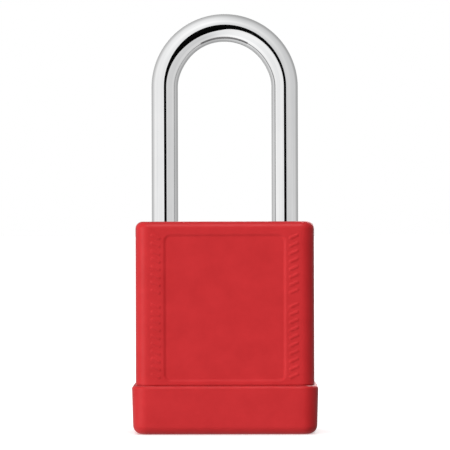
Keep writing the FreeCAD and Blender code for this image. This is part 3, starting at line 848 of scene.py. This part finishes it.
def digit_mesh(digit):
    """Flat outline of one digit, centred, in metres."""
    curve = bpy.data.curves.new(f"digit_{digit}", "FONT")
    curve.body = str(digit)
    curve.size = DIGIT_HEIGHT / DIGIT_SHARE_OF_FONT
    curve.resolution_u = DIGIT_CURVE_STEPS
    curve.offset = DIGIT_BOLD
    flat = bpy.data.objects.new(f"digit_{digit}", curve)
    bpy.context.scene.collection.objects.link(flat)
    depsgraph = bpy.context.evaluated_depsgraph_get()
    mesh = bpy.data.meshes.new_from_object(flat.evaluated_get(depsgraph))
    bpy.data.objects.remove(flat)
    xs = [v.co.x for v in mesh.vertices]
    ys = [v.co.y for v in mesh.vertices]
    centre = Vector(((min(xs) + max(xs)) / 2, (min(ys) + max(ys)) / 2, 0))
    for vertex in mesh.vertices:
        vertex.co -= centre
    return mesh


def wrap_digit(bm, mesh, x, turn):
    """Adds a digit as a thin inlay on the wheel's rim; turn is measured from straight down."""
    one = bmesh.new()
    one.from_mesh(mesh)
    bmesh.ops.remove_doubles(one, verts=one.verts, dist=DIGIT_WELD)
    cuts = round(DIGIT_HEIGHT / DIGIT_CUT)
    for height in steps(-DIGIT_HEIGHT / 2, DIGIT_HEIGHT / 2, cuts)[1:-1]:
        everything = one.verts[:] + one.edges[:] + one.faces[:]
        bmesh.ops.bisect_plane(one, geom=everything, plane_co=(0, height, 0), plane_no=(0, 1, 0))
    grown = bmesh.ops.extrude_face_region(one, geom=one.faces[:])
    raised = {v for v in grown["geom"] if isinstance(v, bmesh.types.BMVert)}
    for vertex in one.verts:
        radius = WHEEL_R + (DIGIT_PROUD if vertex in raised else -DIGIT_DEPTH)
        angle = turn + vertex.co.y / radius
        vertex.co = (x + vertex.co.x, -radius * math.sin(angle), AXIS_Z - radius * math.cos(angle))
    bmesh.ops.recalc_face_normals(one, faces=one.faces)
    temporary = bpy.data.meshes.new("wrapped_digit")
    one.to_mesh(temporary)
    one.free()
    bm.from_mesh(temporary)
    bpy.data.meshes.remove(temporary)


def wheel_digits():
    """Ten digits inlaid round the rim of each wheel, with 0 straight down at rest."""
    meshes = [digit_mesh(digit) for digit in range(DIGITS)]
    for index, middle in enumerate(WHEEL_MIDDLES, start=1):
        bm = bmesh.new()
        for mesh, turn in zip(meshes, full_circle(DIGITS)):
            wrap_digit(bm, mesh, middle, turn)
        make_piece(f"wheel_digits_{index}", bm, f"wheel_{index}", BLACK_PAINT)


def index_marks():
    """Paint in the base plate's index groove, in the lands between the wheels' slots."""
    bm = bmesh.new()
    end = WINDOW_WIDTH / 2 - INDEX_MARGIN
    stops = [-end]
    for middle in WHEEL_MIDDLES:
        stops += [middle - PLATE_SLOT_WIDTH / 2, middle + PLATE_SLOT_WIDTH / 2]
    stops.append(end)
    half = INDEX_WIDTH / 2 - INDEX_GAP
    edge = PLATE_LOW.z + INDEX_TOP
    level = PLATE_LOW.z + INDEX_SINK
    for x0, x1 in zip(stops[0::2], stops[1::2]):
        rings = []
        for x in steps(x0 + INDEX_END_GAP, x1 - INDEX_END_GAP, INDEX_STEPS):
            sag = INDEX_SAG * smooth(min(x - x0, x1 - x) / INDEX_SAG_RUN)
            crown = [(x, half * t, edge + sag * (1 - t * t)) for t in steps(-1, 1, INDEX_STEPS)]
            rings.append(add_ring(bm, crown + [(x, half, level), (x, -half, level)]))
        closed_rod(bm, rings)
    make_piece("index_paint", bm, "case", INDEX_PAINT)


# ---- studio ----

FLOOR_Z = -0.03 * MM
FLOOR_RADII = (0.05, 0.3, 1.0, 3.0, 12.0)
FLOOR_SIDES = 96

CAMERA_PLACE = (5.7 * MM, -0.7, 47.0 * MM)
CAMERA_ROLL = math.radians(-0.15)

# in millimetres, as Blender takes them
CAMERA_LENS = 246
CAMERA_SENSOR = 36

# what mirror reflections see of the tent, as brightness towards each side
TENT_LEFT = 1.36
TENT_RIGHT = 1.03
TENT_SLANTED = 0.6
TENT_BEHIND = 0.50

# what lights everything else evenly, as brightness from each side
FILL_LEFT = 0.95
FILL_RIGHT = 0.0
FILL_ABOVE = 0.2

# dark gaps in the tent, seen only in mirror reflections
CAMERA_GAP_PLACE = (65.7 * MM, -0.72, 47.0 * MM)
CAMERA_GAP_WIDTH = -2 * CAMERA_GAP_PLACE[1] * math.tan(math.radians(10.2))
CAMERA_GAP_LENGTH = -2 * CAMERA_GAP_PLACE[1] * math.tan(math.radians(24.5))
CAMERA_GAP_LEAN = math.radians(-18)
BACK_GAP_PLACE = (-0.08, 0.9, 0.05)
BACK_GAP_WIDTH = 0.2
BACK_GAP_LENGTH = 0.6
CARD_ROUNDING = 0.49

# degrees left of the front, degrees up, strength, spread in degrees, and whether mirrors see it
OBJECT_LIGHTS = {
    "front_softbox": (10, 0, 0.39, 60, False),
    "left_softbox": (56, 5, 0.58, 30, True),
    "top_softbox": (5, 56, 0.55, 30, True),
    "back_softbox": (-160, 20, 0.45, 40, True),
}
FLOOR_LIGHT = (0, 90, 0.80, 90, True)


def card(name, centre, width, height, facing, lean=0.0):
    """Black card with round ends, seen only in mirror reflections; lean tips it sideways."""
    bm = bmesh.new()
    thirds = steps(-1, 1, 3)
    outline = rounded_outline(width, height, min(width, height) * CARD_ROUNDING, thirds, thirds)
    cos, sin = math.cos(lean), math.sin(lean)
    across = Vector((0, 0, 1)).cross(Vector(facing))
    points = []
    for x, z in outline:
        rise = Vector((0, 0, x * sin + z * cos))
        points.append(Vector(centre) + across * (x * cos - z * sin) + rise)
    bm.faces.new(add_ring(bm, points))
    nodes = Finish(name)
    felt = nodes.noise(900, detail=2)
    colour = nodes.ramp(felt, ((0.3, 0.004), (0.7, 0.008)))
    nodes.done(colour, nodes.to_range(felt, 0.3, 0.7, 0.9, 1.0), Specular_IOR_Level=0.0)
    piece = make_piece(name, bm, None, nodes.material)
    piece.visible_camera = False
    piece.visible_diffuse = False
    piece.visible_shadow = False


def far_softbox(name, setting, pieces, state):
    """Soft even light from one side.

    state says whether the pieces are the only ones lit by it or the only ones spared.
    """
    azimuth, elevation, strength, spread, mirrored = setting
    light = bpy.data.lights.new(name, "SUN")
    light.energy = strength * math.pi
    light.angle = math.radians(spread)
    holder = bpy.data.objects.new(name, light)
    turn, rise = math.radians(azimuth), math.radians(elevation)
    level = math.cos(rise)
    direction = Vector((-level * math.sin(turn), -level * math.cos(turn), math.sin(rise)))
    holder.rotation_euler = direction.to_track_quat("Z", "Y").to_euler()
    holder.visible_glossy = mirrored
    bpy.context.scene.collection.objects.link(holder)
    linked = bpy.data.collections.new(f"{name}_pieces")
    for piece in pieces:
        linked.objects.link(piece)
    for entry in linked.collection_objects:
        entry.light_linking.link_state = state
    holder.light_linking.receiver_collection = linked


def surroundings():
    """White tent. Mirror reflections see its panels; everything else gets an even fill."""
    world = bpy.data.worlds.new("white_tent")
    world.use_nodes = True
    bpy.context.scene.world = world
    nodes = Nodes(world.node_tree)
    axes = nodes.tree.nodes.new("ShaderNodeSeparateXYZ")
    nodes.link(nodes.places.outputs["Generated"], axes.inputs["Vector"])
    x, y, z = (axes.outputs[axis] for axis in "XYZ")
    panels = nodes.to_range(x, -0.3, 0.3, TENT_LEFT, TENT_RIGHT, soft=True)
    front = nodes.to_range(y, -1.0, 0.0, TENT_SLANTED, 0.0)
    right = nodes.to_range(x, 0.05, 0.35, 0, 1)
    low_right = nodes.math("MULTIPLY", right, nodes.to_range(z, -0.3, 0, 1, 0))
    front = nodes.math("MULTIPLY", front, nodes.math("SUBTRACT", 1.0, low_right))
    slanted = nodes.math("MULTIPLY", nodes.math("MULTIPLY", z, z), front)
    depth = nodes.to_range(y, -0.1, 0.9, 1.0, TENT_BEHIND, soft=True)
    tent = nodes.math("MULTIPLY", nodes.math("ADD", panels, slanted), depth)
    sides = nodes.to_range(x, -1.0, 1.0, FILL_LEFT, FILL_RIGHT)
    fill = nodes.math("MULTIPLY", sides, nodes.to_range(z, -0.3, 0.3, 1.0, FILL_ABOVE, soft=True))
    rays = nodes.tree.nodes.new("ShaderNodeLightPath")
    lit = nodes.blend(rays.outputs["Is Glossy Ray"], fill, tent)
    seen = nodes.blend(rays.outputs["Is Camera Ray"], lit, 1.0)
    background = world.node_tree.nodes["Background"]
    background.inputs["Color"].default_value = (1, 1, 1, 1)
    nodes.link(seen, background.inputs["Strength"])


def floor():
    """Plain sheet under the lock. It isn't seen in mirrors and casts no light on the lock."""
    bm = bmesh.new()
    rings = []
    angles = full_circle(FLOOR_SIDES)
    for radius in FLOOR_RADII:
        points = [(radius * math.cos(a), radius * math.sin(a), FLOOR_Z) for a in angles]
        rings.append(add_ring(bm, points))
    join_rings(bm, rings)
    bm.faces.new(rings[0])
    sheet = make_piece("floor_sheet", bm, None, pale_floor("white_sheet"))
    sheet.visible_glossy = False
    sheet.visible_diffuse = False
    return sheet


def camera():
    """On to the front, level with the jacket's top, from 0.7 m and half a degree to the right."""
    lens = bpy.data.cameras.new("camera")
    lens.sensor_width = CAMERA_SENSOR
    lens.lens = CAMERA_LENS
    lens.clip_end = 50
    holder = bpy.data.objects.new("camera", lens)
    holder.location = CAMERA_PLACE
    holder.rotation_euler = (math.pi / 2, 0, math.atan2(CAMERA_PLACE[0], -CAMERA_PLACE[1]))
    holder.rotation_euler.rotate_axis("Z", CAMERA_ROLL)
    bpy.context.scene.collection.objects.link(holder)
    bpy.context.scene.camera = holder


def studio():
    """Tent, floor, camera, the two dark gaps and the five soft lights."""
    surroundings()
    sheet = floor()
    camera()
    card(
        "camera_gap", CAMERA_GAP_PLACE, CAMERA_GAP_WIDTH, CAMERA_GAP_LENGTH,
        (0, 1, 0), CAMERA_GAP_LEAN,
    )
    card("back_gap", BACK_GAP_PLACE, BACK_GAP_WIDTH, BACK_GAP_LENGTH, (0, -1, 0))
    spared = [sheet, bpy.data.objects["shackle_rod"]]
    for name, setting in OBJECT_LIGHTS.items():
        far_softbox(name, setting, spared, "EXCLUDE")
    far_softbox("floor_softbox", FLOOR_LIGHT, [sheet], "INCLUDE")
    scene = bpy.context.scene
    scene.view_settings.view_transform = "Standard"
    scene.cycles.use_denoising = True


outer_jacket()
base_bumper()
shackle()
springs()
wheel_digits()
index_marks()
studio()
